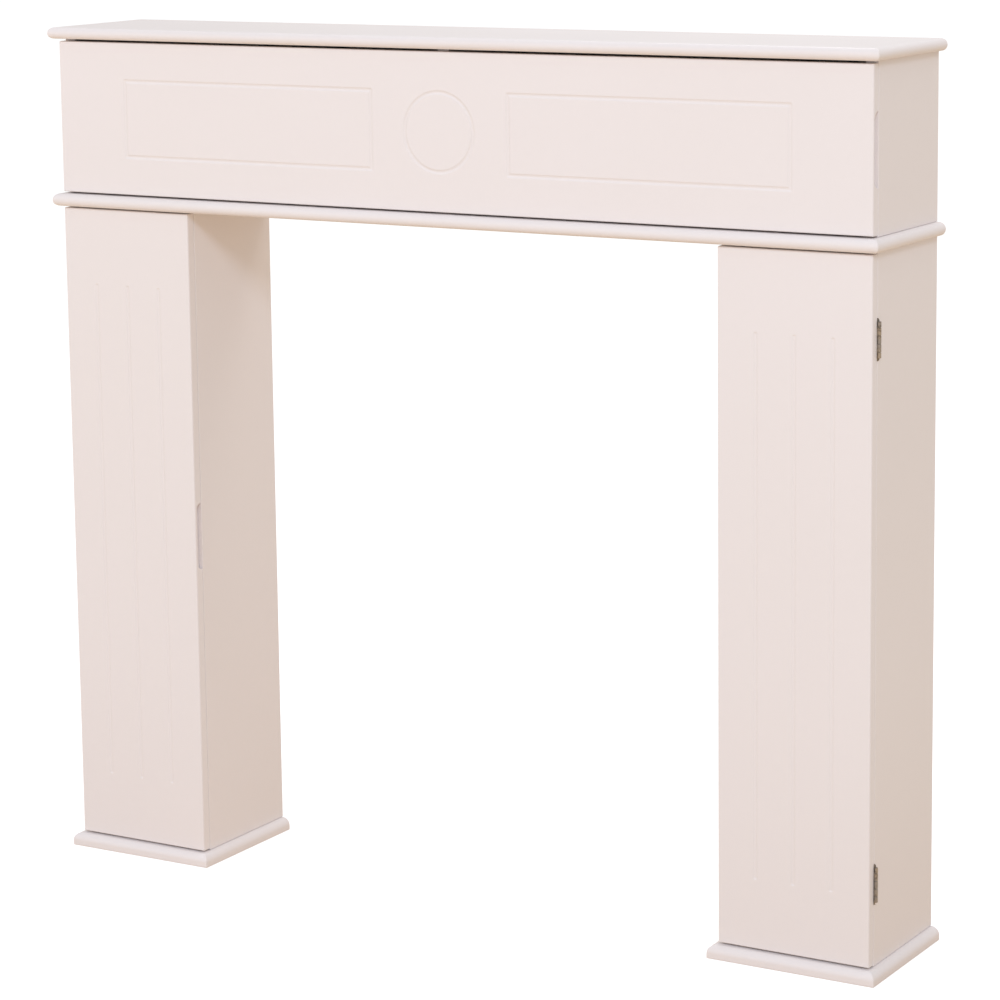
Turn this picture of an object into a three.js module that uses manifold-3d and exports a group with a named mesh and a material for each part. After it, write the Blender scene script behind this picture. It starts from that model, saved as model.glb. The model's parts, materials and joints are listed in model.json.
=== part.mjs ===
// A slim storage cupboard built as a fireplace surround: two pillar cupboards carry a long
// mantel box, and a slab door closes each of the three. Millimetres, +Z up. The origin is on
// the floor, in the middle of the width and depth, and the doors face -Y.

import * as THREE from "three";
import { mergeVertices } from "three/addons/utils/BufferGeometryUtils.js";
import Module from "manifold-3d";

const wasm = await Module();
wasm.setup();

// Overall sizes
const HEIGHT = 1000; // floor to the top face
const DEPTH = 178; // front nosing to the back sheets
const CARCASS_WIDTH = 1050; // over the outer sides of the pillars
const PILLAR_WIDTH = 180;
const MIDDLE_BOARD_TOP = 803;
const OVERHANG = 10; // of the moulded boards beyond the carcass and the door fronts

// Stock and fits
const BOARD = 15; // thickness of the boards in the carcass, but for the top one
const TOP_BOARD = 13.5;
const DOOR_BOARD = 12; // thickness of the doors
const BACK_SHEET = 3;
const PLINTH_ROUND = 9; // radius on the plinth's top arris
const GLUE_LINE = 0.2; // between two boards that are fixed together
const CUT_FIT = 0.3; // between a hole and the fastener in it
const DOOR_GAP = 2; // above and below a pillar door, and below the mantel door
const MANTEL_DOOR_TOP_GAP = 3;
const HINGE_GAP = 0.5; // between a closed door and the carcass
const SHELVES = ["lower", "middle", "upper"]; // in each pillar, evenly spaced

// Door decoration
const GROOVE_WIDTH = 5;
const GROOVE_DEPTH = 0.8;
const FLUTES = 3; // on each pillar door, evenly spaced across it
const FLUTE_STOP = { top: 89, bottom: 78 }; // from the ends of a pillar door to its flutes
const OUTLINE_LENGTH = 341; // of each outline on the mantel door, to the middle of its groove
const OUTLINE_MARGIN = 95; // from the end of the mantel door to its outline
const OUTLINE_INSET = 45; // from the top and bottom of the mantel door to its outlines and ring

// Finger scoop, in the back arris of a door's opening edge
const SCOOP_LENGTH = 80;
const SCOOP_LIP = 2.5; // thickness left at the front
const SCOOP_REACH = 5; // into the width of the door
const SCOOP_END_RADIUS = DOOR_BOARD - SCOOP_LIP;

// Butt hinge, let into the door and the carcass
const HINGE_LENGTH = 45; // of the leaves
const BARREL_LENGTH = 39;
const KNUCKLES = 5;
const END_KNUCKLE = 6.5; // length of the first and last knuckle
const KNUCKLE_RADIUS = 2;
const KNUCKLE_GAP = 0.3;
const PIN_RADIUS = 1;
const PIN_CLEARANCE = 0.1;
const PIN_SUNK = 0.2; // from the end of the barrel to the end of the pin
const LEAF_THICKNESS = 0.9;
const LEAF_REACH = 14.5; // from the pin's axis to the leaf's far edge
const LEAF_LEVEL = 0.1; // from the pin's axis to the near face of each leaf
const LEAF_SHOULDER = 1.3; // from the pin's axis to where a leaf reaches its full length
const HINGE_OFFSET = KNUCKLE_RADIUS + KNUCKLE_GAP; // from the carcass's side to the pin's axis
const PILLAR_HINGE_INSET = 90; // from the ends of a pillar door to the middles of its hinges
const MANTEL_HINGE_INSET = 42;
const HINGE_SCREW_SPACING = 26;
const HINGE_SCREW_RADIUS = 1.7;

// Magnetic catch
const CATCH = { width: 12, depth: 24, height: 40 };
const MAGNET = { width: 6, depth: 10, height: 30 };
const MAGNET_PROUD = 0.8;
const CATCH_SETBACK = 1.7; // from the front edges of the boards to the front of the case
const STRIKE = { width: 12, thickness: 1, height: 36, holeRadius: 1.8 };

// Screws and dowels that join the mantel box to the pillars
const SCREW = { length: 40, shankRadius: 2, headRadius: 4, headDepth: 3, headRim: 0.3 };
const DOWEL = { radius: 4, length: 30, inMiddleBoard: 10 };
const FASTENER_INSET = 30; // from the front and the back of a pillar side

// Levels and planes worked out from the sizes above
const DOOR_FRONT = -DEPTH / 2 + OVERHANG;
const DOOR_BACK = DOOR_FRONT + DOOR_BOARD;
const HINGE_PLANE = DOOR_BACK + HINGE_GAP / 2;
const CARCASS_FRONT = DOOR_BACK + HINGE_GAP;
const FRONT_FROM_AXIS = DOOR_FRONT - HINGE_PLANE; // a door's front face, seen from its hinge axis
const BACK_FROM_AXIS = DOOR_BACK - HINGE_PLANE;
const BACK = DEPTH / 2;
const BACK_LAYER = [BACK - BACK_SHEET, BACK]; // of every back sheet
const CARCASS_BACK = BACK - BACK_SHEET - GLUE_LINE;
const END_LAYER = [CARCASS_FRONT, BACK]; // of the boards that the back sheets lie between
const INNER_LAYER = [CARCASS_FRONT, CARCASS_BACK]; // of the shelves and the divider
const OUTER_FACE = CARCASS_WIDTH / 2;
const INNER_FACE = OUTER_FACE - PILLAR_WIDTH;
const MIDDLE_BOARD_BOTTOM = MIDDLE_BOARD_TOP - BOARD;
const TOP_BOARD_BOTTOM = HEIGHT - TOP_BOARD;
const PILLAR_BOTTOM = BOARD + GLUE_LINE;
const PILLAR_TOP = MIDDLE_BOARD_BOTTOM - GLUE_LINE;
const MANTEL_BOTTOM = MIDDLE_BOARD_TOP + GLUE_LINE;
const MANTEL_TOP = TOP_BOARD_BOTTOM - GLUE_LINE;
const PILLAR_DOOR = {
  bottom: BOARD + DOOR_GAP,
  top: MIDDLE_BOARD_BOTTOM - DOOR_GAP,
  hingeInset: PILLAR_HINGE_INSET,
};
const MANTEL_DOOR = {
  bottom: MIDDLE_BOARD_TOP + DOOR_GAP,
  top: TOP_BOARD_BOTTOM - MANTEL_DOOR_TOP_GAP,
  hingeInset: MANTEL_HINGE_INSET,
};
const HINGE_AXIS_X = OUTER_FACE + HINGE_OFFSET;
const SCREW_X = INNER_FACE + BOARD / 2;
const SCREW_TOP = MIDDLE_BOARD_TOP - CUT_FIT;
const DOWEL_X = OUTER_FACE - BOARD / 2;
const DOWEL_TOP = MIDDLE_BOARD_BOTTOM + DOWEL.inMiddleBoard;
const FASTENER_DEPTHS = {
  front: CARCASS_FRONT + FASTENER_INSET,
  rear: CARCASS_BACK - FASTENER_INSET,
};

// Facets and cutters. ExtrudeGeometry puts twice its curve segments in each arc.
const ROUND_SEGMENTS = 12;
const ARC_SEGMENTS = 5;
const RING_SEGMENTS = 24;
const SCREW_HOLE_LENGTH = 6;

const AXIS_X = new THREE.Vector3(1, 0, 0);
const AXIS_Y = new THREE.Vector3(0, 1, 0);
const AXIS_Z = new THREE.Vector3(0, 0, 1);
const AXIS_MINUS_X = new THREE.Vector3(-1, 0, 0);
const AXIS_MINUS_Y = new THREE.Vector3(0, -1, 0);

function material(color, roughness, metalness = 0) {
  return new THREE.MeshStandardMaterial({ color, roughness, metalness });
}

const paint = material(0xeee4df, 0.45);
const backSheet = material(0xb99f82, 0.8);
const brass = material(0x9a8468, 0.35, 1);
const whitePlastic = material(0xe9e6e0, 0.5);
const magnetSteel = material(0x4a4a4c, 0.5, 0.8);
const zinc = material(0xb9bbbe, 0.35, 1);
const beech = material(0xcfa878, 0.75);

// Solids, for the pieces that need a cut or a join

function solidOf(geometry) {
  const bare = geometry.clone();
  bare.deleteAttribute("normal");
  bare.deleteAttribute("uv");
  const merged = mergeVertices(bare, 1e-4);
  return new wasm.Manifold(
    new wasm.Mesh({
      numProp: 3,
      vertProperties: new Float32Array(merged.attributes.position.array),
      triVerts: new Uint32Array(merged.index.array),
    }),
  );
}

function geometryOf(solid) {
  const mesh = solid.getMesh();
  const geometry = new THREE.BufferGeometry();
  geometry.setAttribute("position", new THREE.BufferAttribute(mesh.vertProperties, 3));
  geometry.setIndex(new THREE.BufferAttribute(mesh.triVerts, 1));
  geometry.computeVertexNormals();
  return geometry;
}

function block([x0, x1], [y0, y1], [z0, z1]) {
  const geometry = new THREE.BoxGeometry(x1 - x0, y1 - y0, z1 - z0);
  return geometry.translate((x0 + x1) / 2, (y0 + y1) / 2, (z0 + z1) / 2);
}

// A shape whose own axes become the given part axes, extruded along the third.
function prism(shape, length, xAxis, yAxis, zAxis, curveSegments = ARC_SEGMENTS) {
  const options = { depth: length, bevelEnabled: false, curveSegments };
  const geometry = new THREE.ExtrudeGeometry(shape, options);
  return geometry.applyMatrix4(new THREE.Matrix4().makeBasis(xAxis, yAxis, zAxis));
}

function uprightCylinder(radius, z0, z1) {
  const geometry = new THREE.CylinderGeometry(radius, radius, z1 - z0, ROUND_SEGMENTS);
  return geometry.rotateX(Math.PI / 2).translate(0, 0, (z0 + z1) / 2);
}

// A cutter along Y, long enough for any of the thin plates.
function screwHole(radius) {
  return new THREE.CylinderGeometry(radius, radius, SCREW_HOLE_LENGTH, ROUND_SEGMENTS);
}

function named(name, geometry, look) {
  const mesh = new THREE.Mesh(geometry, look);
  mesh.name = name;
  return mesh;
}

// Boards

function board(name, [x0, x1], [y0, y1], [z0, z1], look = paint) {
  const mesh = named(name, new THREE.BoxGeometry(x1 - x0, y1 - y0, z1 - z0), look);
  mesh.position.set((x0 + x1) / 2, (y0 + y1) / 2, (z0 + z1) / 2);
  return mesh;
}

// One end of a moulded board's section, drawn from its bottom to its top, at distance `reach`
// from the middle.
function drawNosing(shape, reach, thickness, kind) {
  if (kind === "bullnose") {
    const radius = thickness / 2;
    shape.lineTo(reach - radius, 0);
    shape.absarc(reach - radius, radius, radius, -Math.PI / 2, Math.PI / 2, false);
  } else if (kind === "roundover") {
    shape.lineTo(reach, 0);
    shape.lineTo(reach, thickness - PLINTH_ROUND);
    shape.absarc(reach - PLINTH_ROUND, thickness - PLINTH_ROUND, PLINTH_ROUND, 0, Math.PI / 2);
  }
}

// A board with the moulding run along its front and both ends, so that the corners meet in
// mitres. Its own origin is at its bottom, in the middle of its width and depth.
function mouldedBoard(width, thickness, kind) {
  const half = width / 2;
  const across = new THREE.Shape();
  across.moveTo(0, 0);
  drawNosing(across, half, thickness, kind);
  across.lineTo(0, thickness);
  const rightHalf = solidOf(prism(across, DEPTH, AXIS_X, AXIS_Z, AXIS_MINUS_Y));
  const bothEnds = rightHalf.add(rightHalf.mirror([1, 0, 0])).translate([0, DEPTH / 2, 0]);

  const frontToBack = new THREE.Shape();
  frontToBack.moveTo(-DEPTH / 2, 0);
  drawNosing(frontToBack, DEPTH / 2, thickness, kind);
  frontToBack.lineTo(-DEPTH / 2, thickness);
  const run = solidOf(prism(frontToBack, width, AXIS_MINUS_Y, AXIS_Z, AXIS_MINUS_X));
  return bothEnds.intersect(run.translate([half, 0, 0]));
}

function plinth(name) {
  const solid = mouldedBoard(PILLAR_WIDTH + 2 * OVERHANG, BOARD, "roundover");
  return named(name, geometryOf(solid), paint);
}

// Fasteners between the mantel box and the pillars

// A solid turned about Z, from the bottom of its profile to the top. Each point is [radius, z].
function turned(profile) {
  const points = profile.map(([radius, z]) => new THREE.Vector2(radius, z));
  return new THREE.LatheGeometry(points, ROUND_SEGMENTS).rotateX(Math.PI / 2);
}

// A countersunk screw, head up, with the top of its head at the origin. `grow` widens it into
// the cutter for its own hole.
function screwGeometry(grow = 0) {
  const { length, shankRadius, headRadius, headDepth, headRim } = SCREW;
  return turned([
    [0, -length - grow],
    [shankRadius + grow, -length + 2 * shankRadius],
    [shankRadius + grow, -headDepth],
    [headRadius + grow, -headRim],
    [headRadius + grow, 2 * grow],
    [0, 2 * grow],
  ]);
}

function screwCutters(side) {
  return Object.values(FASTENER_DEPTHS).map((y) =>
    solidOf(screwGeometry(CUT_FIT)).translate([side * SCREW_X, y, SCREW_TOP]),
  );
}

function dowelCutters(side) {
  const bottom = DOWEL_TOP - DOWEL.length;
  const hole = uprightCylinder(DOWEL.radius + CUT_FIT, bottom - CUT_FIT, DOWEL_TOP + CUT_FIT);
  return Object.values(FASTENER_DEPTHS).map((y) => solidOf(hole).translate([side * DOWEL_X, y, 0]));
}

function cutAll(solid, cutters) {
  return cutters.reduce((rest, cutter) => rest.subtract(cutter), solid);
}

function middleBoard() {
  const blank = mouldedBoard(CARCASS_WIDTH + 2 * OVERHANG, BOARD, "bullnose");
  const inPlace = blank.translate([0, 0, MIDDLE_BOARD_BOTTOM]);
  const cutters = [-1, 1].flatMap((side) => [...screwCutters(side), ...dowelCutters(side)]);
  return named("middle_board", geometryOf(cutAll(inPlace, cutters)), paint);
}

function pillarFasteners(sideName, side) {
  const group = new THREE.Group();
  for (const [place, y] of Object.entries(FASTENER_DEPTHS)) {
    const screw = named(`${sideName}_pillar_screw_${place}`, screwGeometry(), zinc);
    screw.position.set(side * SCREW_X, y, SCREW_TOP);
    const peg = uprightCylinder(DOWEL.radius, -DOWEL.length, 0);
    const dowel = named(`${sideName}_pillar_dowel_${place}`, peg, beech);
    dowel.position.set(side * DOWEL_X, y, DOWEL_TOP);
    group.add(screw, dowel);
  }
  return group;
}

// Doors. A door's own origin is on its hinge axis, at the height of its bottom edge; `hand` is
// +1 where the door runs towards +X from its hinges and -1 where it runs towards -X.

function grooveCutter(shape, curveSegments = ARC_SEGMENTS) {
  const geometry = prism(shape, GROOVE_DEPTH + 1, AXIS_X, AXIS_Z, AXIS_MINUS_Y, curveSegments);
  return solidOf(geometry).translate([0, FRONT_FROM_AXIS + GROOVE_DEPTH, 0]);
}

function flute(x, z0, z1) {
  const radius = GROOVE_WIDTH / 2;
  const shape = new THREE.Shape();
  shape.absarc(x, z1 - radius, radius, 0, Math.PI, false);
  shape.absarc(x, z0 + radius, radius, Math.PI, 2 * Math.PI, false);
  return grooveCutter(shape);
}

function rectangle(target, x0, x1, z0, z1) {
  target.moveTo(x0, z0);
  target.lineTo(x1, z0);
  target.lineTo(x1, z1);
  target.lineTo(x0, z1);
  target.closePath();
  return target;
}

// A rectangular groove whose middle line runs through the given limits.
function outline(x0, x1, z0, z1) {
  const half = GROOVE_WIDTH / 2;
  const shape = rectangle(new THREE.Shape(), x0 - half, x1 + half, z0 - half, z1 + half);
  shape.holes.push(rectangle(new THREE.Path(), x0 + half, x1 - half, z0 + half, z1 - half));
  return grooveCutter(shape);
}

// A circular groove whose middle line has the given radius.
function ring(x, z, radius) {
  const shape = new THREE.Shape();
  shape.absarc(x, z, radius + GROOVE_WIDTH / 2, 0, 2 * Math.PI, false);
  const inside = new THREE.Path();
  inside.absarc(x, z, radius - GROOVE_WIDTH / 2, 0, 2 * Math.PI, true);
  shape.holes.push(inside);
  return grooveCutter(shape, RING_SEGMENTS);
}

// The scoop's outline on the door's edge: open at the back, with round ends where it meets the lip.
function scoopCutter(edgeX, middleZ) {
  const radius = SCOOP_END_RADIUS;
  const arcY = FRONT_FROM_AXIS + SCOOP_LIP + radius;
  const behind = BACK_FROM_AXIS + 1;
  const low = middleZ - SCOOP_LENGTH / 2;
  const high = middleZ + SCOOP_LENGTH / 2;
  const section = new THREE.Shape(); // its x is the part's y, and its y is the part's z
  section.moveTo(behind, low);
  section.lineTo(arcY, low);
  section.absarc(arcY, low + radius, radius, 1.5 * Math.PI, Math.PI, true);
  section.absarc(arcY, high - radius, radius, Math.PI, Math.PI / 2, true);
  section.lineTo(behind, high);
  const cutter = solidOf(prism(section, 2 * SCOOP_REACH, AXIS_Y, AXIS_Z, AXIS_X));
  return cutter.translate([edgeX - SCOOP_REACH, 0, 0]);
}

function pillarDecoration(near, far, height) {
  const width = far - near;
  return Array.from({ length: FLUTES }, (_, i) =>
    flute(near + (width * (i + 1)) / (FLUTES + 1), FLUTE_STOP.bottom, height - FLUTE_STOP.top),
  );
}

function mantelDecoration(near, far, height) {
  const low = OUTLINE_INSET;
  const high = height - OUTLINE_INSET;
  return [
    outline(near + OUTLINE_MARGIN, near + OUTLINE_MARGIN + OUTLINE_LENGTH, low, high),
    ring((near + far) / 2, height / 2, (high - low) / 2),
    outline(far - OUTLINE_MARGIN - OUTLINE_LENGTH, far - OUTLINE_MARGIN, low, high),
  ];
}

function doorSlab(name, hand, width, levels, decorate) {
  const height = levels.top - levels.bottom;
  const ends = [hand * HINGE_OFFSET, hand * (HINGE_OFFSET + width)];
  const [near, far] = ends.sort((a, b) => a - b);
  const slab = solidOf(block([near, far], [FRONT_FROM_AXIS, BACK_FROM_AXIS], [0, height]));
  const openingEdge = hand > 0 ? far : near;
  const recesses = Object.values(hingeLevels(levels)).map((z) =>
    leafRecess(hand, true).translate([0, 0, z - levels.bottom]),
  );
  const cutters = [
    ...decorate(near, far, height),
    scoopCutter(openingEdge, height / 2),
    ...recesses,
  ];
  return named(name, geometryOf(cutAll(slab, cutters)), paint);
}

// Hinges. A hinge's own origin is in the middle of its pin. The door leaf lies in front of the
// frame leaf.

function hingeLevels({ bottom, top, hingeInset }) {
  return { lower: bottom + hingeInset, upper: top - hingeInset };
}

function knuckleSpan(index) {
  const middleLength = (BARREL_LENGTH - 2 * END_KNUCKLE) / (KNUCKLES - 2);
  const end = BARREL_LENGTH / 2;
  const bottom = index === 0 ? -end : -end + END_KNUCKLE + (index - 1) * middleLength;
  const top = index === KNUCKLES - 1 ? end : -end + END_KNUCKLE + index * middleLength;
  return [bottom + KNUCKLE_GAP / 2, top - KNUCKLE_GAP / 2];
}

// The flat link from a knuckle to its leaf. Beside an end knuckle it slants out to the corner of
// the leaf: `corners` holds the heights that it reaches at the leaf.
function knuckleLink(hand, levels, [low, high], corners) {
  const inLeaf = KNUCKLE_RADIUS + KNUCKLE_GAP + 1;
  const shape = new THREE.Shape();
  shape.moveTo(0, low);
  shape.lineTo(hand * LEAF_SHOULDER, corners[0]);
  shape.lineTo(hand * inLeaf, corners[0]);
  shape.lineTo(hand * inLeaf, corners[1]);
  shape.lineTo(hand * LEAF_SHOULDER, corners[1]);
  shape.lineTo(0, high);
  const link = prism(shape, LEAF_THICKNESS, AXIS_X, AXIS_Z, AXIS_MINUS_Y);
  return solidOf(link).translate([0, levels[1], 0]);
}

function hingeLeaf(hand, isDoorLeaf) {
  const farFace = LEAF_LEVEL + LEAF_THICKNESS;
  const levels = isDoorLeaf ? [-farFace, -LEAF_LEVEL] : [LEAF_LEVEL, farFace];
  const plateStart = KNUCKLE_RADIUS + KNUCKLE_GAP;
  const across = (from, to) => (hand > 0 ? [from, to] : [-to, -from]);
  const fullHeight = [-HINGE_LENGTH / 2, HINGE_LENGTH / 2];
  let leaf = solidOf(block(across(plateStart, LEAF_REACH), levels, fullHeight));
  for (let index = isDoorLeaf ? 1 : 0; index < KNUCKLES; index += 2) {
    const [low, high] = knuckleSpan(index);
    const corners = [
      index === 0 ? -HINGE_LENGTH / 2 : low,
      index === KNUCKLES - 1 ? HINGE_LENGTH / 2 : high,
    ];
    leaf = leaf.add(solidOf(uprightCylinder(KNUCKLE_RADIUS, low, high)));
    leaf = leaf.add(knuckleLink(hand, levels, [low, high], corners));
  }
  const bore = uprightCylinder(PIN_RADIUS + PIN_CLEARANCE, -HINGE_LENGTH, HINGE_LENGTH);
  leaf = leaf.subtract(solidOf(bore));
  for (const end of [-1, 1]) {
    const x = (hand * (plateStart + LEAF_REACH)) / 2;
    const hole = solidOf(screwHole(HINGE_SCREW_RADIUS));
    leaf = leaf.subtract(hole.translate([x, 0, (end * HINGE_SCREW_SPACING) / 2]));
  }
  return geometryOf(leaf);
}

// The cutter for the recess that a leaf lies in, open at the outer edge of its board.
function leafRecess(hand, isDoorLeaf) {
  const floor = LEAF_LEVEL + LEAF_THICKNESS + CUT_FIT;
  const reach = LEAF_REACH + CUT_FIT;
  const halfHeight = HINGE_LENGTH / 2 + CUT_FIT;
  const levels = isDoorLeaf ? [-floor, 0] : [0, floor];
  const across = hand > 0 ? [0, reach] : [-reach, 0];
  return solidOf(block(across, levels, [-halfHeight, halfHeight]));
}

// The recesses for a door's frame leaves, in the board at the left (-1) or right (+1) end.
function frameLeafRecesses(side, door) {
  return Object.values(hingeLevels(door)).map((z) =>
    leafRecess(-side, false).translate([side * HINGE_AXIS_X, HINGE_PLANE, z]),
  );
}

function hingePin() {
  const end = BARREL_LENGTH / 2 - PIN_SUNK;
  return uprightCylinder(PIN_RADIUS, -end, end);
}

// Catches: the case and magnet stay on the carcass, and the strike plate rides on the door.

function catchCase(name, side) {
  const widths = side > 0 ? [0, CATCH.width] : [-CATCH.width, 0];
  const body = solidOf(block(widths, [0, CATCH.depth], [-CATCH.height / 2, CATCH.height / 2]));
  const pocketHalfWidth = MAGNET.width / 2 + CUT_FIT;
  const pocketHalfHeight = MAGNET.height / 2 + CUT_FIT;
  const middle = (side * CATCH.width) / 2;
  const pocket = block(
    [middle - pocketHalfWidth, middle + pocketHalfWidth],
    [-1, MAGNET.depth - MAGNET_PROUD + CUT_FIT],
    [-pocketHalfHeight, pocketHalfHeight],
  );
  return named(name, geometryOf(body.subtract(solidOf(pocket))), whitePlastic);
}

// `side` is the direction from the panel that carries the catch into the cupboard.
function magneticCatch(doorName, panelFaceX, side, z) {
  const group = new THREE.Group();
  group.position.set(panelFaceX + side * GLUE_LINE, CARCASS_FRONT + CATCH_SETBACK, z);
  const magnet = named(
    `${doorName}_catch_magnet`,
    new THREE.BoxGeometry(MAGNET.width, MAGNET.depth, MAGNET.height),
    magnetSteel,
  );
  magnet.position.set((side * CATCH.width) / 2, MAGNET.depth / 2 - MAGNET_PROUD, 0);
  group.add(catchCase(`${doorName}_catch_case`, side), magnet);
  return group;
}

function strikePlate(doorName, x, z) {
  const thickness = [BACK_FROM_AXIS + LEAF_LEVEL, BACK_FROM_AXIS + LEAF_LEVEL + STRIKE.thickness];
  const halfHeight = STRIKE.height / 2;
  const halfWidth = STRIKE.width / 2;
  const plate = solidOf(block([-halfWidth, halfWidth], thickness, [-halfHeight, halfHeight]));
  const drilled = plate.subtract(solidOf(screwHole(STRIKE.holeRadius)));
  const mesh = named(`${doorName}_strike_plate`, geometryOf(drilled), zinc);
  mesh.position.set(x, 0, z);
  return mesh;
}

// A hung door: the slab, its two hinges, its strike plate, and the catch that stays on the carcass.
function hungDoor({ name, hand, width, levels, decorate, catchZ }) {
  const hungFrom = new THREE.Vector3(-hand * HINGE_AXIS_X, HINGE_PLANE, levels.bottom);
  const fixed = new THREE.Group(); // what stays on the carcass
  const swinging = new THREE.Group(); // turns about its own Z axis as the door opens
  fixed.position.copy(hungFrom);
  swinging.position.copy(hungFrom);
  swinging.add(doorSlab(name, hand, width, levels, decorate));
  for (const [place, z] of Object.entries(hingeLevels(levels))) {
    const frameLeaf = named(`${name}_${place}_hinge_frame_leaf`, hingeLeaf(hand, false), brass);
    const doorLeaf = named(`${name}_${place}_hinge_door_leaf`, hingeLeaf(hand, true), brass);
    const pin = named(`${name}_${place}_hinge_pin`, hingePin(), brass);
    for (const piece of [frameLeaf, doorLeaf, pin]) piece.position.z = z - levels.bottom;
    fixed.add(frameLeaf, pin);
    swinging.add(doorLeaf);
  }
  const openingEdge = hand * (HINGE_OFFSET + width);
  const strikeX = openingEdge - hand * (BOARD + GLUE_LINE + CATCH.width / 2);
  swinging.add(strikePlate(name, strikeX, catchZ - levels.bottom));
  const panelFace = hungFrom.x + openingEdge - hand * BOARD;
  const group = new THREE.Group();
  group.add(fixed, swinging, magneticCatch(name, panelFace, -hand, catchZ));
  return group;
}

// The two halves of the carcass

function pillar(sideName, side) {
  const group = new THREE.Group();
  const upright = [PILLAR_BOTTOM, PILLAR_TOP];
  const base = plinth(`${sideName}_plinth`);
  base.position.x = side * (OUTER_FACE - PILLAR_WIDTH / 2);
  group.add(base);

  const across = (from, to) => (side > 0 ? [from, to] : [-to, -from]);
  const clearWidth = across(INNER_FACE + BOARD + GLUE_LINE, OUTER_FACE - BOARD - GLUE_LINE);
  const outerCutters = [...dowelCutters(side), ...frameLeafRecesses(side, PILLAR_DOOR)];
  const outerBlank = solidOf(block(across(OUTER_FACE - BOARD, OUTER_FACE), END_LAYER, upright));
  const innerBlank = solidOf(block(across(INNER_FACE, INNER_FACE + BOARD), END_LAYER, upright));
  group.add(
    named(`${sideName}_outer_side`, geometryOf(cutAll(outerBlank, outerCutters)), paint),
    named(`${sideName}_inner_side`, geometryOf(cutAll(innerBlank, screwCutters(side))), paint),
    board(`${sideName}_pillar_back`, clearWidth, BACK_LAYER, upright, backSheet),
    pillarFasteners(sideName, side),
  );

  const pitch = (PILLAR_TOP - PILLAR_BOTTOM + BOARD) / (SHELVES.length + 1);
  const shelfTop = (index) => PILLAR_BOTTOM + pitch * (index + 1);
  for (const [index, place] of SHELVES.entries()) {
    const levels = [shelfTop(index) - BOARD, shelfTop(index)];
    group.add(board(`${sideName}_shelf_${place}`, clearWidth, INNER_LAYER, levels));
  }

  group.add(
    hungDoor({
      name: `${sideName}_door`,
      hand: -side,
      width: PILLAR_WIDTH,
      levels: PILLAR_DOOR,
      decorate: pillarDecoration,
      catchZ: shelfTop(SHELVES.indexOf("middle")) + GLUE_LINE + CATCH.height / 2,
    }),
  );
  return group;
}

function mantelBox() {
  const group = new THREE.Group();
  const upright = [MANTEL_BOTTOM, MANTEL_TOP];
  const topSolid = mouldedBoard(CARCASS_WIDTH + 2 * OVERHANG, TOP_BOARD, "bullnose");
  const topBoard = named("top_board", geometryOf(topSolid), paint);
  topBoard.position.z = TOP_BOARD_BOTTOM;
  const leftBlank = solidOf(block([-OUTER_FACE, -OUTER_FACE + BOARD], END_LAYER, upright));
  const leftEnd = cutAll(leftBlank, frameLeafRecesses(-1, MANTEL_DOOR));
  const backEdge = OUTER_FACE - BOARD - GLUE_LINE;
  group.add(
    topBoard,
    middleBoard(),
    named("mantel_left_end", geometryOf(leftEnd), paint),
    board("mantel_right_end", [OUTER_FACE - BOARD, OUTER_FACE], END_LAYER, upright),
    board("mantel_divider", [-BOARD / 2, BOARD / 2], INNER_LAYER, upright),
    board("mantel_back", [-backEdge, backEdge], BACK_LAYER, upright, backSheet),
    hungDoor({
      name: "mantel_door",
      hand: 1,
      width: CARCASS_WIDTH,
      levels: MANTEL_DOOR,
      decorate: mantelDecoration,
      catchZ: (MIDDLE_BOARD_TOP + TOP_BOARD_BOTTOM) / 2,
    }),
  );
  return group;
}

const mantel = new THREE.Group();
mantel.add(pillar("left", -1), pillar("right", 1), mantelBox());

export default mantel;
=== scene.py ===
"""Looks for a painted storage fireplace surround: boards, grooved doors, hinges, catches and fixings."""

import json
import math
import random

import bmesh
import bpy
from mathutils import Matrix, Vector

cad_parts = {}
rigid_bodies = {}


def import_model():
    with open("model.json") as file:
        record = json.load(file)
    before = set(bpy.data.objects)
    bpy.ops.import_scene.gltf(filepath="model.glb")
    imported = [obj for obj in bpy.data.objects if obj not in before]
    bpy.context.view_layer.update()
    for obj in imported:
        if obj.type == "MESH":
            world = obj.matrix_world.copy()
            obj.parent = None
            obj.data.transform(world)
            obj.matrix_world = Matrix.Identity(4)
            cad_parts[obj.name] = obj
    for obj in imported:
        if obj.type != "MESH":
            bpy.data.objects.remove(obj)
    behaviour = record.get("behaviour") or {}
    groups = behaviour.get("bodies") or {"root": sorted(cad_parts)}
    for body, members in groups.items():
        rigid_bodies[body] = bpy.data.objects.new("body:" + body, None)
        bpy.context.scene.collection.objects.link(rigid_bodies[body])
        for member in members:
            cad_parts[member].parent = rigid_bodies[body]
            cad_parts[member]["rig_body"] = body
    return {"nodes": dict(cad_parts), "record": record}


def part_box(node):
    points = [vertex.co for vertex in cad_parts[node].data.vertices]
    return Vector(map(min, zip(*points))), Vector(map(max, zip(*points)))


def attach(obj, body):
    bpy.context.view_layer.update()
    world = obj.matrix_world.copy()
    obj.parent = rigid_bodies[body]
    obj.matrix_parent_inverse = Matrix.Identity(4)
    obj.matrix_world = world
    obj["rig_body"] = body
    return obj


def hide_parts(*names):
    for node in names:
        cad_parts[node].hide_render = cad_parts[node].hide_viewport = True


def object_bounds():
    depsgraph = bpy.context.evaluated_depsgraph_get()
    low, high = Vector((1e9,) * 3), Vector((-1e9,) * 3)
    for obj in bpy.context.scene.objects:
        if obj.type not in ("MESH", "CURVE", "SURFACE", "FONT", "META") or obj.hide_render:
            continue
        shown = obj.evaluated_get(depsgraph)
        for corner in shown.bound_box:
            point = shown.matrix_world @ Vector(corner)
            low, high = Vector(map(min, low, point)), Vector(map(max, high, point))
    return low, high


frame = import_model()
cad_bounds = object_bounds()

MM = 0.001
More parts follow.
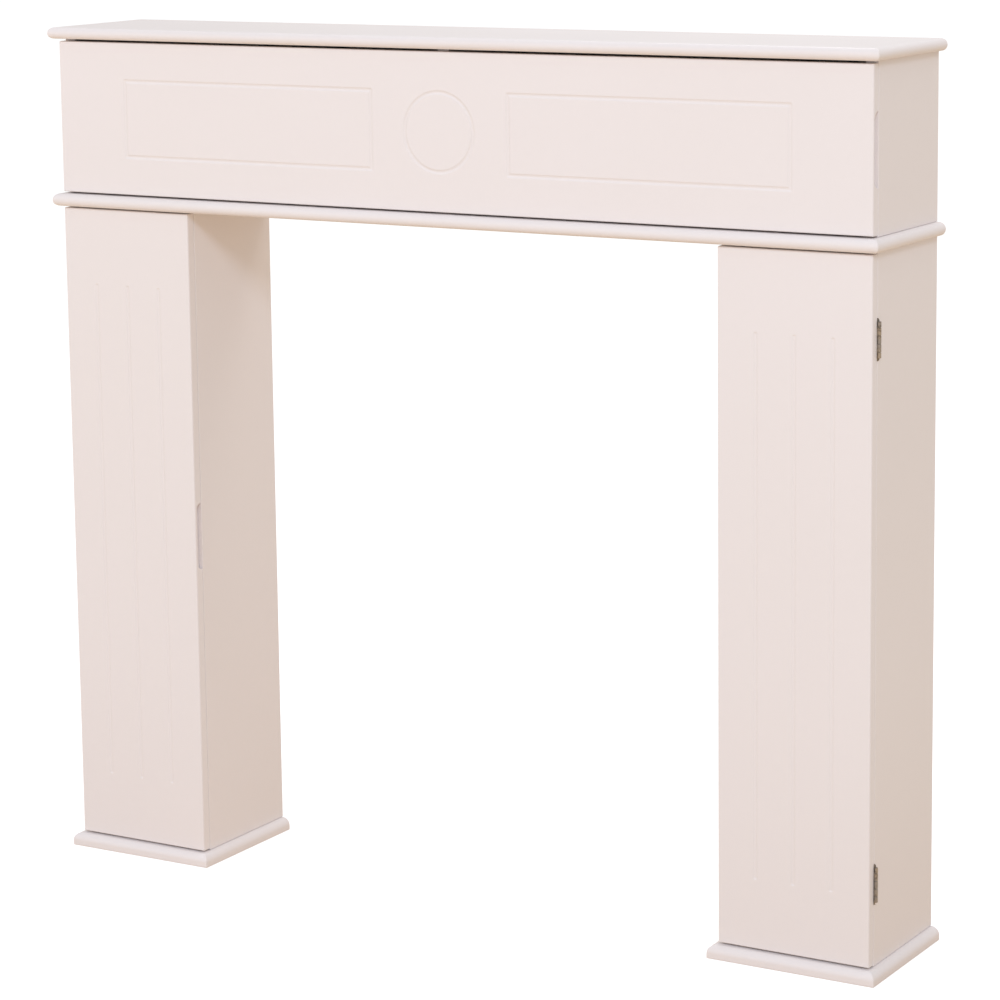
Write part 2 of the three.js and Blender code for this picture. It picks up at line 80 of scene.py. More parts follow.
SAME = 1e-6  # places closer than this count as the same

# Boards
ARRIS = 0.8 * MM  # rounding of the edges of a painted board
ARRIS_SEGMENTS = 4
SHARP_ANGLE = math.radians(40)  # an edge that turns more than this is rounded, or shaded sharp
MITRE_ROUNDING = 1.4 * MM  # at the outermost point of a moulding's corner
MITRE_CREASE = 0.15 * MM  # where the moulding meets the flat
NOSING_STEPS = 18
PLINTH_ROUND = 9 * MM
PLINTH_FOOT_ROUND = 1 * MM

# Doors
DOOR_FRONT_ARRIS = 1.5 * MM
DOOR_BACK_ARRIS = 0.8 * MM
GROOVE_HALF_WIDTH = 2.5 * MM
GROOVE_DEPTH = 0.8 * MM
GROOVE_LIP = 1 * MM  # radius where the groove meets the face
FLUTES = 3
FLUTE_STOP_TOP = 89 * MM
FLUTE_STOP_BOTTOM = 78 * MM
OUTLINE_LENGTH = 341 * MM
OUTLINE_MARGIN = 95 * MM
OUTLINE_INSET = 45 * MM
RING_STEPS = 96
CORNER_STEPS = 6

# Finger scoops
SCOOP_LENGTH = 80 * MM
SCOOP_LIP = 2.5 * MM  # thickness left at the front
SCOOP_REACH = 5 * MM
SCOOP_FILLET = 2.6 * MM  # where the scoop's wall meets its floor and ends
SCOOP_RIM = 0.5 * MM

# Hinges
KNUCKLES = 5
END_KNUCKLE = 6.5 * MM
KNUCKLE_GAP = 0.3 * MM
KNUCKLE_BORE = 1.1 * MM
KNUCKLE_EASE = 0.35 * MM
KNUCKLE_STEPS = 32
PIN_SUNK = 0.2 * MM
PIN_EASE = 0.3 * MM
LEAF_NEAR = 0.1 * MM  # from the pin's axis to the near face of a leaf
LEAF_FAR = 1.0 * MM
LEAF_SHOULDER = 1.3 * MM  # from the pin's axis to where a leaf reaches its full length
LEAF_CORNER = 2 * MM
LEAF_EASE = 0.12 * MM
LEAF_OVERLAP = 0.5 * MM  # of a knuckle's link with the flat of its leaf
LEAF_RECESS_FIT = 0.3 * MM
LEAF_RECESS_OVERRUN = 3 * MM  # of the cutter, out past the board's surface
LEAF_SCREW_SPACING = 26 * MM
LEAF_SINK_MOUTH = 1.955 * MM  # radius of a countersink just above the leaf
LEAF_SINK_FLOOR = 0.935 * MM  # and just below it
LEAF_HEAD = 1.564 * MM
LEAF_HEAD_DEPTH = 0.1 * MM

# Catches
CASE_ROUNDING = 1.0 * MM
MAGNET_PLAY = 0.3 * MM  # between the magnet and the pocket in its case
CASE_SCREW_INSET = 9 * MM  # from the top and bottom of the case
CASE_SINK_DEPTH = 2.5 * MM
CASE_SINK_MOUTH = 2.6 * MM
CASE_SINK_FLOOR = 2.2 * MM
CASE_HEAD_DEPTH = 1.2 * MM
POLE_THICKNESS = 1.2 * MM
POLE_CLEARANCE = 0.02 * MM  # between a pole plate and the magnet
MAGNET_SETBACK = 0.3 * MM  # of the magnet's face behind the poles' edges
MAGNET_INSET = 0.4 * MM  # of its ends inside the poles' ends
PLATE_CORNER = 2 * MM
PLATE_ARRIS = 0.15 * MM
PLATE_SINK_MOUTH = 2.3 * MM
PLATE_SINK_FLOOR = 1.2 * MM
SMALL_HEAD = 1.9 * MM  # radius of the screw heads in cases and strike plates

# Screw heads, as shares of the head's radius
NECK_RADIUS = 0.5
NECK_DEPTH = 0.8
CROSS_REACH = 0.62
CROSS_HALF_WIDTH = 0.13
CROSS_DEPTH = 0.45
CROSS_TAPER = 0.55

# Pillar screws and dowels
SCREW_STEPS = 28
CUT_FIT = 0.3 * MM  # between a hole and the fastener in it
THREAD_START = 3 * MM
THREAD_PITCH = 2.4 * MM
THREAD_MARGIN = 12 * MM  # length of the screw left without thread
THREAD_CORE = 0.32  # radius, as a share of the head's
THREAD_CREST = 0.5
TIP_TURNS = 3  # turns over which the thread grows to its full size
DOWEL_CHAMFER = 1 * MM
DOWEL_FLUTES = 24
DOWEL_FLUTE_DEPTH = 0.25 * MM

# Pins of the back sheets
NAIL_RADIUS = 0.9 * MM
NAIL_PLACES = (0.12, 0.5, 0.88)  # along the edge of each board that a back sheet is pinned to
NAIL_SCATTER = 1.5 * MM
NAIL_PROUD = 0.3 * MM

# The camera stands at CAMERA_DISTANCE from a point at depth CAMERA_AIM_Y in the middle of the
# object, then slides right and up without turning.
CAMERA_AZIMUTH = 30.61
CAMERA_ELEVATION = 9.07
CAMERA_ROLL = -0.68
CAMERA_LENS = 119.95
CAMERA_SHIFT_UP = -0.1419
CAMERA_DISTANCE = 3.8364
CAMERA_AIM_Y = 21 * MM
CAMERA_RIGHT = 12.8 * MM
CAMERA_UP = 125.2 * MM

scene = bpy.context.scene
SLOT_OF = {part["node"]: part["material_slot"] for part in frame["record"]["subparts"]}


def steps(start, end, count):
    """Evenly spaced values from start to end, both included."""
    return [start + (end - start) * i / (count - 1) for i in range(count)]


def all_round(count):
    """Evenly spaced angles round a whole circle."""
    return [2 * math.pi * i / count for i in range(count)]


def arc(x, y, radius, angles):
    """Points at the given angles on a circle about (x, y)."""
    return [(x + radius * math.cos(a), y + radius * math.sin(a)) for a in angles]


# Materials


def srgb(red, green, blue):
    """A linear colour from 8-bit display values."""

    def linear(value):
        value /= 255
        return value / 12.92 if value <= 0.04045 else ((value + 0.055) / 1.055) ** 2.4

    return (linear(red), linear(green), linear(blue), 1)


def add(tree, kind, inputs=None, **settings):
    """A new node with its settings and inputs set. An input is a value or another node's output."""
    node = tree.nodes.new(kind)
    for key, value in settings.items():
        setattr(node, key, value)
    for key, value in (inputs or {}).items():
        socket = node.inputs[key]
        if isinstance(value, bpy.types.NodeSocket):
            tree.links.new(value, socket)
        else:
            socket.default_value = value
    return node


def noise(tree, place, scale, detail=2.0, stretch=(1, 1, 1)):
    """Noise with about `scale` features per metre."""
    mapping = add(tree, "ShaderNodeMapping", {"Vector": place, "Scale": stretch})
    made = add(
        tree,
        "ShaderNodeTexNoise",
        {"Vector": mapping.outputs["Vector"], "Scale": scale, "Detail": detail},
    )
    return made.outputs["Fac"]


def ramp(tree, value, low, high, to_low=0.0, to_high=1.0):
    """Maps low..high onto to_low..to_high, and stays inside it."""
    made = add(
        tree,
        "ShaderNodeMapRange",
        {"Value": value, "From Min": low, "From Max": high, "To Min": to_low, "To Max": to_high},
    )
    return made.outputs["Result"]


def mix(tree, amount, first, second, blend="MIX"):
    made = add(tree, "ShaderNodeMix", data_type="RGBA", blend_type=blend)
    sockets = [s for s in made.inputs if s.type == "RGBA"]
    for socket, value in ((made.inputs[0], amount), (sockets[0], first), (sockets[1], second)):
        if isinstance(value, bpy.types.NodeSocket):
            tree.links.new(value, socket)
        else:
            socket.default_value = value
    return [s for s in made.outputs if s.type == "RGBA"][0]


def bump(tree, height, depth, normal=None):
    """Relief `depth` metres deep where height runs from 0 to 1."""
    inputs = {"Height": height, "Distance": depth, "Strength": 1.0}
    if normal is not None:
        inputs["Normal"] = normal
    return add(tree, "ShaderNodeBump", inputs).outputs["Normal"]


def surface(name):
    """An empty material, with its tree and the piece's own coordinates."""
    material = bpy.data.materials.new(name)
    material.use_nodes = True
    tree = material.node_tree
    tree.nodes.clear()
    place = add(tree, "ShaderNodeTexCoord").outputs["Object"]
    return material, tree, place


def shade(tree, color, roughness, normal, metallic=0.0, **more):
    inputs = {"Base Color": color, "Roughness": roughness, "Normal": normal, "Metallic": metallic}
    inputs.update(more)
    shader = add(tree, "ShaderNodeBsdfPrincipled", inputs)
    output = add(tree, "ShaderNodeOutputMaterial")
    tree.links.new(shader.outputs["BSDF"], output.inputs["Surface"])


def satin_paint(name, light, shadow, orange_peel=0.012 * MM):
    """Sprayed satin paint: faint clouds, uneven gloss, orange peel, and raised fibres on cut edges."""
    material, tree, place = surface(name)
    cloud = ramp(tree, noise(tree, place, 2.1, 2), 0.3, 0.7)
    speck = ramp(tree, noise(tree, place, 140, 3), 0.3, 0.7, 0.0, 0.35)
    tone = mix(tree, speck, mix(tree, cloud, light, shadow), shadow)
    cut = add(tree, "ShaderNodeAttribute", attribute_name="cut_edge").outputs["Fac"]
    gloss = ramp(tree, noise(tree, place, 9, 4), 0.3, 0.7, 0.36, 0.44)
    roughness = add(
        tree,
        "ShaderNodeMath",
        {0: cut, 1: 0.14, 2: gloss},
        operation="MULTIPLY_ADD",
    )
    fibres = add(tree, "ShaderNodeMath", {0: noise(tree, place, 900, 6), 1: cut}, operation="MULTIPLY")
    normal = bump(tree, noise(tree, place, 9, 1), 0.12 * MM)
    normal = bump(tree, noise(tree, place, 620, 2), orange_peel, normal)
    normal = bump(tree, fibres.outputs[0], 0.05 * MM, normal)
    shade(tree, tone, roughness.outputs[0], normal, **{"Specular IOR Level": 0.4})
    return material


def hardboard():
    """Pressed fibre sheet: lacquered white in front, bare brown with a wire-screen pattern behind."""
    material, tree, place = surface("hardboard")
    fleck = ramp(tree, noise(tree, place, 260, 6, (1, 1, 0.35)), 0.35, 0.7)
    cloud = ramp(tree, noise(tree, place, 7, 4), 0.3, 0.7)
    brown = mix(tree, fleck, srgb(150, 116, 82), srgb(118, 86, 58))
    brown = mix(tree, ramp(tree, cloud, 0, 1, 0, 0.45), brown, srgb(170, 138, 102))
    outward = add(tree, "ShaderNodeTexCoord").outputs["Normal"]
    facing = add(tree, "ShaderNodeSeparateXYZ", {"Vector": outward})
    front = ramp(tree, facing.outputs["Y"], -0.4, -0.6)
    tone = mix(tree, front, brown, srgb(226, 218, 210))
    screen = []
    for axis in ("X", "Z"):
        wave = add(
            tree,
            "ShaderNodeTexWave",
            {"Vector": place, "Scale": 170.0, "Distortion": 0.6, "Detail": 2.0},
            bands_direction=axis,
        )
        screen.append(wave.outputs["Fac"])
    weave = add(tree, "ShaderNodeMath", {0: screen[0], 1: screen[1]}, operation="MULTIPLY")
    rear_weave = add(
        tree,
        "ShaderNodeMath",
        {0: weave.outputs[0], 1: ramp(tree, front, 0, 1, 1, 0)},
        operation="MULTIPLY",
    )
    normal = bump(tree, rear_weave.outputs[0], 0.18 * MM)
    normal = bump(tree, noise(tree, place, 500, 5), 0.04 * MM, normal)
    shade(tree, tone, ramp(tree, front, 0, 1, 0.82, 0.5), normal)
    return material


def brass_with_painted_reflections():
    """Dull plated hinge metal: brassy and brown-grey patches, partly uneven plating and partly painted
    reflection; dark spots that are painted reflections; a brushed grain.
    """
    material, tree, place = surface("brass_with_painted_reflections")
    # painted reflection: the patches in part, and the dark spots wholly, stand in for the surroundings
    # mirrored in the metal
    patch = ramp(tree, noise(tree, place, 70, 3), 0.4, 0.6)
    painted_reflection_spot = ramp(tree, noise(tree, place, 330, 4), 0.52, 0.66, 0, 0.75)
    tone = mix(tree, patch, srgb(178, 161, 139), srgb(162, 152, 142))
    tone = mix(tree, painted_reflection_spot, tone, srgb(112, 100, 90))
    roughness = ramp(tree, noise(tree, place, 300, 4), 0.3, 0.7, 0.3, 0.5)
    normal = bump(tree, noise(tree, place, 180, 3), 0.06 * MM)
    normal = bump(tree, noise(tree, place, 700, 3, (1, 1, 0.08)), 0.02 * MM, normal)
    shade(tree, tone, roughness, normal, 0.6)
    return material


def zinc_plate():
    """Bright zinc on steel: faint spangle and fine scratches."""
    material, tree, place = surface("zinc_plate")
    spangle = ramp(tree, noise(tree, place, 350, 3), 0.35, 0.65)
    tone = mix(tree, spangle, srgb(196, 198, 200), srgb(168, 170, 176))
    roughness = ramp(tree, noise(tree, place, 150, 4), 0.3, 0.7, 0.24, 0.42)
    normal = bump(tree, noise(tree, place, 1200, 3, (1, 1, 0.1)), 0.015 * MM)
    shade(tree, tone, roughness, normal, 1.0)
    return material


def moulded_plastic():
    """White catch plastic with a fine spark-eroded texture."""
    material, tree, place = surface("catch_plastic")
    cloud = ramp(tree, noise(tree, place, 60, 3), 0.3, 0.7)
    tone = mix(tree, cloud, srgb(236, 233, 227), srgb(226, 222, 214))
    roughness = ramp(tree, noise(tree, place, 400, 2), 0.3, 0.7, 0.42, 0.55)
    normal = bump(tree, noise(tree, place, 2400, 2), 0.02 * MM)
    shade(tree, tone, roughness, normal, **{"Subsurface Weight": 0.08, "Subsurface Scale": 1 * MM})
    return material


def ferrite():
    """Dark sintered magnet with a ground face."""
    material, tree, place = surface("ferrite")
    grit = ramp(tree, noise(tree, place, 900, 5), 0.35, 0.7)
    tone = mix(tree, grit, srgb(62, 60, 60), srgb(84, 82, 82))
    roughness = ramp(tree, noise(tree, place, 300, 3), 0.3, 0.7, 0.5, 0.7)
    shade(tree, tone, roughness, bump(tree, noise(tree, place, 1500, 4), 0.03 * MM), 0.2)
    return material


def beech():
    """Bare beech dowel: long grain along its length, with short darker flecks."""
    material, tree, place = surface("beech")
    grain = ramp(tree, noise(tree, place, 420, 4, (1, 1, 0.07)), 0.3, 0.7)
    fleck = ramp(tree, noise(tree, place, 900, 2, (1, 1, 0.18)), 0.62, 0.7)
    tone = mix(tree, grain, srgb(214, 178, 132), srgb(190, 150, 104))
    tone = mix(tree, fleck, tone, srgb(160, 118, 78))
    shade(tree, tone, 0.7, bump(tree, grain, 0.05 * MM))
    return material


MATERIALS = {
    "painted_board": satin_paint("satin_paint", srgb(238, 229, 226), srgb(236, 227, 223)),
    "inside_board": satin_paint("inside_paint", srgb(235, 226, 222), srgb(231, 222, 217), 0.02 * MM),
    "back_sheet": hardboard(),
    "hinge_metal": brass_with_painted_reflections(),
    "zinc_plate": zinc_plate(),
    "catch_plastic": moulded_plastic(),
    "magnet": ferrite(),
    "beech": beech(),
}


# Pieces


def to_mesh(bm, name):
    bmesh.ops.recalc_face_normals(bm, faces=bm.faces)
    mesh = bpy.data.meshes.new(name)
    bm.to_mesh(mesh)
    bm.free()
    return mesh


def fit(name, mesh, host, slot):
    """A piece on the same body as the CAD node `host`, finished in a material slot."""
    piece = bpy.data.objects.new(name, mesh)
    scene.collection.objects.link(piece)
    if not mesh.materials:
        mesh.materials.append(MATERIALS[slot])
    mesh.shade_smooth()
    mesh.set_sharp_from_angle(angle=SHARP_ANGLE)
    normals = piece.modifiers.new("weighted_normals", "WEIGHTED_NORMAL")
    normals.keep_sharp = True
    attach(piece, frame["nodes"][host]["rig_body"])
    return piece


def stand_for(node, mesh):
    """A finished piece in a CAD node's place."""
    piece = fit(f"{node}_finished", mesh, node, SLOT_OF[node])
    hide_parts(node)
    return piece


def mark_cut_edges(mesh, thin_axis):
    """Marks the faces round a board's edge, where the cut fibre shows through the paint."""
    attribute = mesh.attributes.new("cut_edge", "FLOAT", "FACE")
    for face, value in zip(mesh.polygons, attribute.data):
        value.value = 0.0 if abs(face.normal[thin_axis]) > 0.5 else 1.0


def round_edges(bm, width, segments=ARRIS_SEGMENTS, chosen=None):
    """Rounds every edge that turns sharply, or those of them that `chosen` accepts."""
    bm.normal_update()
    edges = [
        edge
        for edge in bm.edges
        if len(edge.link_faces) == 2
        and edge.calc_face_angle() > SHARP_ANGLE
        and (chosen is None or chosen(edge))
    ]
    bmesh.ops.bevel(
        bm, geom=edges, offset=width, segments=segments, profile=0.5, affect="EDGES", clamp_overlap=True
    )


def block(lo, hi):
    bm = bmesh.new()
    middle = (Vector(lo) + Vector(hi)) / 2
    size = Vector(hi) - Vector(lo)
    bmesh.ops.create_cube(bm, size=1, matrix=Matrix.Translation(middle) @ Matrix.Diagonal((*size, 1)))
    return bm


def cylinder(radius_low, radius_high, start, end, count=KNUCKLE_STEPS):
    """A cylinder or cone between two points, as a new bmesh."""
    bm = bmesh.new()
    along = Vector(end) - Vector(start)
    turn = along.to_track_quat("Z", "Y").to_matrix().to_4x4()
    bmesh.ops.create_cone(
        bm,
        cap_ends=True,
        segments=count,
        radius1=radius_low,
        radius2=radius_high,
        depth=along.length,
        matrix=Matrix.Translation((Vector(start) + Vector(end)) / 2) @ turn,
    )
    return bm


def joined(parts, name):
    """Several bmeshes as one mesh."""
    whole = bmesh.new()
    for part in parts:
        mesh = to_mesh(part, name)
        whole.from_mesh(mesh)
        bpy.data.meshes.remove(mesh)
    return to_mesh(whole, name)


def helper(mesh):
    """A passing object, there to carry modifiers or to cut with."""
    piece = bpy.data.objects.new("helper", mesh)
    scene.collection.objects.link(piece)
    return piece


def settled(piece, name):
    """The mesh of a helper after its modifiers. The helper goes."""
    shaped = piece.evaluated_get(bpy.context.evaluated_depsgraph_get())
    mesh = bpy.data.meshes.new_from_object(shaped)
    mesh.name = name
    bpy.data.objects.remove(piece)
    return mesh


def combine(base, changes, name):
    """The base mesh after each (operation, mesh) in turn, such as ("DIFFERENCE", cutter)."""
    target = helper(base)
    tools = []
    for operation, mesh in changes:
        tools.append(helper(mesh))
        modifier = target.modifiers.new(operation, "BOOLEAN")
        modifier.operation = operation
        modifier.solver = "EXACT"
        modifier.use_self = True
        modifier.object = tools[-1]
    result = settled(target, name)
    for tool in tools:
        bpy.data.objects.remove(tool)
    return result


def cut_out(base, cutters, name):
    return combine(base, [("DIFFERENCE", cutter) for cutter in cutters], name)


def middle_of(node):
    lo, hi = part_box(node)
    return (lo + hi) / 2


def turned(profile, centre, name, count=SCREW_STEPS):
    """A solid turned about an upright axis, from a bottom-to-top list of (radius, height)."""
    bm = bmesh.new()
    rings = []
    for radius, height in profile:
        angles = all_round(count) if radius else [0]
        level = centre[2] + height
        rings.append([bm.verts.new((x, y, level)) for x, y in arc(centre[0], centre[1], radius, angles)])
    for low, high in zip(rings, rings[1:]):
        bridge(bm, low, high)
    return to_mesh(bm, name)


def bridge(bm, first, second):
    """Faces between two closed rings, either of which may be a single point."""
    count = max(len(first), len(second))
    for i in range(count):
        j = (i + 1) % count
        corners = []
        for ring, order in ((first, (i, j)), (second, (j, i))):
            corners += ring if len(ring) == 1 else [ring[k] for k in order]
        bm.faces.new(corners)


# Moulded boards


def moulding_ring(bm, lo, hi, inset, z):
    """One level of a moulded board, from the back left corner round the front to the back right."""
    left, right, front = lo.x + inset, hi.x - inset, lo.y + inset
    radius = max(MITRE_ROUNDING - inset, MITRE_CREASE)
    points = [(left, hi.y)]
    for middle_x, start in ((left + radius, math.pi), (right - radius, 1.5 * math.pi)):
        angles = steps(start, start + math.pi / 2, CORNER_STEPS)
        points += arc(middle_x, front + radius, radius, angles)
    points.append((right, hi.y))
    return [bm.verts.new((x, y, z)) for x, y in points]


def moulded_board(node, profile):
    """A board with a moulded front and ends. The profile lists (inset, height) from bottom to top."""
    lo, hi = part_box(node)
    bm = bmesh.new()
    rings = [moulding_ring(bm, lo, hi, inset, lo.z + height) for inset, height in profile]
    for low, high in zip(rings, rings[1:]):
        for i in range(len(low) - 1):
            bm.faces.new((low[i], low[i + 1], high[i + 1], high[i]))
    bm.faces.new(rings[0])
    bm.faces.new(rings[-1])
    bm.faces.new([ring[0] for ring in rings] + [ring[-1] for ring in reversed(rings)])
    bmesh.ops.recalc_face_normals(bm, faces=bm.faces)
    round_edges(bm, ARRIS, chosen=lambda edge: all(abs(v.co.y - hi.y) < SAME for v in edge.verts))
    mesh = to_mesh(bm, node)
    mark_cut_edges(mesh, 2)
    return mesh


def bullnose(thickness):
    radius = thickness / 2
    return [
        (radius * (1 - math.cos(a)), radius * (1 + math.sin(a)))
        for a in steps(-math.pi / 2, math.pi / 2, NOSING_STEPS)
    ]


def plinth_profile(thickness):
    foot = [
        (PLINTH_FOOT_ROUND * (1 - math.cos(a)), PLINTH_FOOT_ROUND * (1 + math.sin(a)))
        for a in steps(-math.pi / 2, 0, 4)
    ]
    shoulder = [
        (PLINTH_ROUND * (1 - math.cos(a)), thickness - PLINTH_ROUND * (1 - math.sin(a)))
        for a in steps(0, math.pi / 2, NOSING_STEPS // 2 + 3)
    ]
    return foot + shoulder


# Plain boards


def board(node, thin_axis, holes=()):
    """A flat board with rounded arrises. The holes are meshes to cut out of it."""
    lo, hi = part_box(node)
    bm = block(lo, hi)
    round_edges(bm, ARRIS)
    mesh = to_mesh(bm, node)
    if holes:
        mesh = cut_out(mesh, holes, node)
    mark_cut_edges(mesh, thin_axis)
    return mesh


def fixing_hole(node):
    """A cutter round a screw or dowel, past both of its ends."""
    lo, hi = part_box(node)
    middle = (lo + hi) / 2
    radius = (hi.x - lo.x) / 2 + CUT_FIT
    low, high = lo.z - CUT_FIT, hi.z + CUT_FIT
    if "screw" not in node:
        start, end = (middle.x, middle.y, low), (middle.x, middle.y, high)
        return to_mesh(cylinder(radius, radius, start, end), node)
    overrun = high + 1 * MM
    profile = [
        (0, low),
        (radius / 2, low),
        (radius / 2, hi.z - 3 * MM),
        (radius, hi.z - 0.2 * MM),
        (radius, overrun),
        (0, overrun),
    ]
    return turned(profile, (middle.x, middle.y, 0), node, KNUCKLE_STEPS)


def leaf_recess(hinge, kind):
    """The cutter that lets a hinge leaf into its board, from the pin's axis to past the leaf's edge."""
    lo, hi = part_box(f"{hinge}_{kind}_leaf")
    axis = middle_of(f"{hinge}_pin")
    far_x = hi.x if hi.x - axis.x > axis.x - lo.x else lo.x
    into = -1 if kind == "door" else 1
    floor_y = axis.y + into * (LEAF_FAR + LEAF_RECESS_FIT)
    outside_y = axis.y - into * LEAF_RECESS_OVERRUN
    past_x = far_x + math.copysign(LEAF_RECESS_FIT, far_x - axis.x)
    xs, ys = sorted((axis.x, past_x)), sorted((floor_y, outside_y))
    cutter = block((xs[0], ys[0], lo.z - LEAF_RECESS_FIT), (xs[1], ys[1], hi.z + LEAF_RECESS_FIT))
    return to_mesh(cutter, hinge)


def frame_leaf_recesses(hung):
    return [leaf_recess(f"{hung}_{place}_hinge", "frame") for place in ("lower", "upper")]


# Doors


def groove_section():
    """(distance from the groove's middle line, depth), from the lip to the bottom."""
    cove = (GROOVE_HALF_WIDTH**2 + GROOVE_DEPTH**2) / (2 * GROOVE_DEPTH)
    wall = math.asin(GROOVE_HALF_WIDTH / cove)
    lip_end = GROOVE_HALF_WIDTH + GROOVE_LIP * math.tan(wall / 2)
    lip = [
        (lip_end - GROOVE_LIP * math.sin(a), GROOVE_LIP * (1 - math.cos(a)))
        for a in steps(0, wall, 4)
    ]
    bottom = [
        (cove * math.sin(a), GROOVE_DEPTH - cove * (1 - math.cos(a)))
        for a in steps(0.85 * wall, 0.06 * wall, 6)
    ]
    return lip + bottom


def groove(bm, front, outline_at, closed):
    """Cuts a groove and returns the loop that bounds it on the door's face.
    outline_at(offset) gives the (x, z) points at a distance outside the groove's middle line.
    A closed groove also gets the face inside it."""
    section = groove_section()
    if closed:
        section = section + [(-offset, depth) for offset, depth in reversed(section)]
    rings = [
        [bm.verts.new((x, front + depth, z)) for x, z in outline_at(offset)] for offset, depth in section
    ]
    for outer, inner in zip(rings, rings[1:]):
        bridge(bm, outer, inner)
    bm.faces.new(rings[-1])
    return rings[0]


def flute_outline(x, low, high):
    """The outline of a stopped flute, round at both ends."""

    def at(offset):
        upper = arc(x, high - GROOVE_HALF_WIDTH, offset, steps(0, math.pi, 2 * CORNER_STEPS))
        lower = arc(x, low + GROOVE_HALF_WIDTH, offset, steps(math.pi, 2 * math.pi, 2 * CORNER_STEPS))
        return upper + lower

    return at


def panel_outline(left, right, low, high):
    """The outline of a rectangular groove: round outside its corners and crisp inside them."""

    def at(offset):
        radius = max(offset, 0) + MITRE_CREASE
        points = []
        corners = ((right, high, 0), (left, high, 1), (left, low, 2), (right, low, 3))
        for x, z, quarter in corners:
            toward_x = -1 if x == right else 1
            toward_z = -1 if z == high else 1
            centre_x = x + toward_x * (radius - offset)
            centre_z = z + toward_z * (radius - offset)
            angles = steps(quarter * math.pi / 2, (quarter + 1) * math.pi / 2, CORNER_STEPS)
            points += arc(centre_x, centre_z, radius, angles)
        return points

    return at


def ring_outline(x, z, radius):
    """The outline of a circular groove."""

    def at(offset):
        return arc(x, z, radius + offset, all_round(RING_STEPS))

    return at


def scoop_outline(lo, hi):
    """The finger scoop on the door's edge, as (y, z) points from its low back corner to its high one."""
    middle = (lo.z + hi.z) / 2
    low, high = middle - SCOOP_LENGTH / 2, middle + SCOOP_LENGTH / 2
    radius = hi.y - lo.y - SCOOP_LIP
    lower = [
        (hi.y - radius * math.sin(a), low + radius * (1 - math.cos(a)))
        for a in steps(0, math.pi / 2, 2 * CORNER_STEPS)
    ]
    upper = [(y, high + low - z) for y, z in reversed(lower)]
    return lower + upper


def door_rounding(edge, front, back, wall):
    """How far an edge of a door blank is rounded. `wall` is the x of the scoop's wall."""
    ends = [vertex.co for vertex in edge.verts]
    if all(abs(end.y - front) < SAME for end in ends):
        return DOOR_FRONT_ARRIS
    in_wall = [abs(end.x - wall) < SAME for end in ends]
    if all(in_wall) and not all(abs(end.y - back) < SAME for end in ends):
        return SCOOP_FILLET
    if any(in_wall) or any(front < end.y < back for end in ends):
        return SCOOP_RIM
    return DOOR_BACK_ARRIS


def scooped_slab(lo, hi, opens_right, name):
    """A door blank with rounded edges and a finger scoop in the back of its opening edge."""
    bm = bmesh.new()
    free, hung = (hi.x, lo.x) if opens_right else (lo.x, hi.x)
    wall = free - math.copysign(SCOOP_REACH, free - hung)
    corners = ((lo.y, lo.z), (hi.y, lo.z), (hi.y, hi.z), (lo.y, hi.z))
    free_end, hung_end = [[bm.verts.new((x, y, z)) for y, z in corners] for x in (free, hung)]
    scoop = scoop_outline(lo, hi)
    at_edge, at_wall = [[bm.verts.new((x, y, z)) for y, z in scoop] for x in (free, wall)]
    bm.faces.new(hung_end)
    bm.faces.new(free_end[:2] + at_edge + free_end[2:])
    bm.faces.new(free_end[:2] + hung_end[1::-1])
    bm.faces.new(free_end[2:] + hung_end[:1:-1])
    bm.faces.new((free_end[0], free_end[3], hung_end[3], hung_end[0]))
    round_scoop = [at_edge[0], at_wall[0], at_wall[-1], at_edge[-1]]
    bm.faces.new([hung_end[2], hung_end[1], free_end[1]] + round_scoop + [free_end[2]])
    bm.faces.new(at_wall)
    for i in range(len(at_edge) - 1):
        bm.faces.new((at_edge[i], at_edge[i + 1], at_wall[i + 1], at_wall[i]))
    bmesh.ops.recalc_face_normals(bm, faces=bm.faces)
    weights = bm.edges.layers.float.new("bevel_weight_edge")
    for edge in bm.edges:
        if edge.calc_face_angle() > SHARP_ANGLE:
            edge[weights] = door_rounding(edge, lo.y, hi.y, wall) / SCOOP_FILLET
    blank = helper(to_mesh(bm, name))
    bevel = blank.modifiers.new("rounding", "BEVEL")
    bevel.limit_method = "WEIGHT"
    bevel.width = SCOOP_FILLET
    bevel.segments = ARRIS_SEGMENTS
    bevel.use_clamp_overlap = False
    return settled(blank, name)


def open_front(bm, front):
    """Removes the slab's front face and returns the edges round the hole."""
    bm.faces.ensure_lookup_table()
    flat = [f for f in bm.faces if all(abs(v.co.y - front) < SAME for v in f.verts)]
    face = max(flat, key=lambda f: f.calc_area())
    edges = list(face.edges)
    bmesh.ops.delete(bm, geom=[face], context="FACES_ONLY")
    return edges


def door(node, opens_right, grooves):
    """A slab door. grooves(lo, hi) gives (outline, closed) for each groove in its face."""
    lo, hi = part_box(node)
    recesses = [leaf_recess(f"{node}_{place}_hinge", "door") for place in ("lower", "upper")]
    slab = cut_out(scooped_slab(lo, hi, opens_right, node), recesses, node)
    bm = bmesh.new()
    bm.from_mesh(slab)
    edges = open_front(bm, lo.y)
    for outline_at, closed in grooves(lo, hi):
        loop = groove(bm, lo.y, outline_at, closed)
        edges += [bm.edges.get((a, b)) for a, b in zip(loop, loop[1:] + loop[:1])]
    bmesh.ops.triangle_fill(bm, use_beauty=True, edges=edges)
    mesh = to_mesh(bm, node)
    mark_cut_edges(mesh, 1)
    return mesh


def pillar_grooves(lo, hi):
    return [
        (flute_outline(x, lo.z + FLUTE_STOP_BOTTOM, hi.z - FLUTE_STOP_TOP), False)
        for x in steps(lo.x, hi.x, FLUTES + 2)[1:-1]
    ]


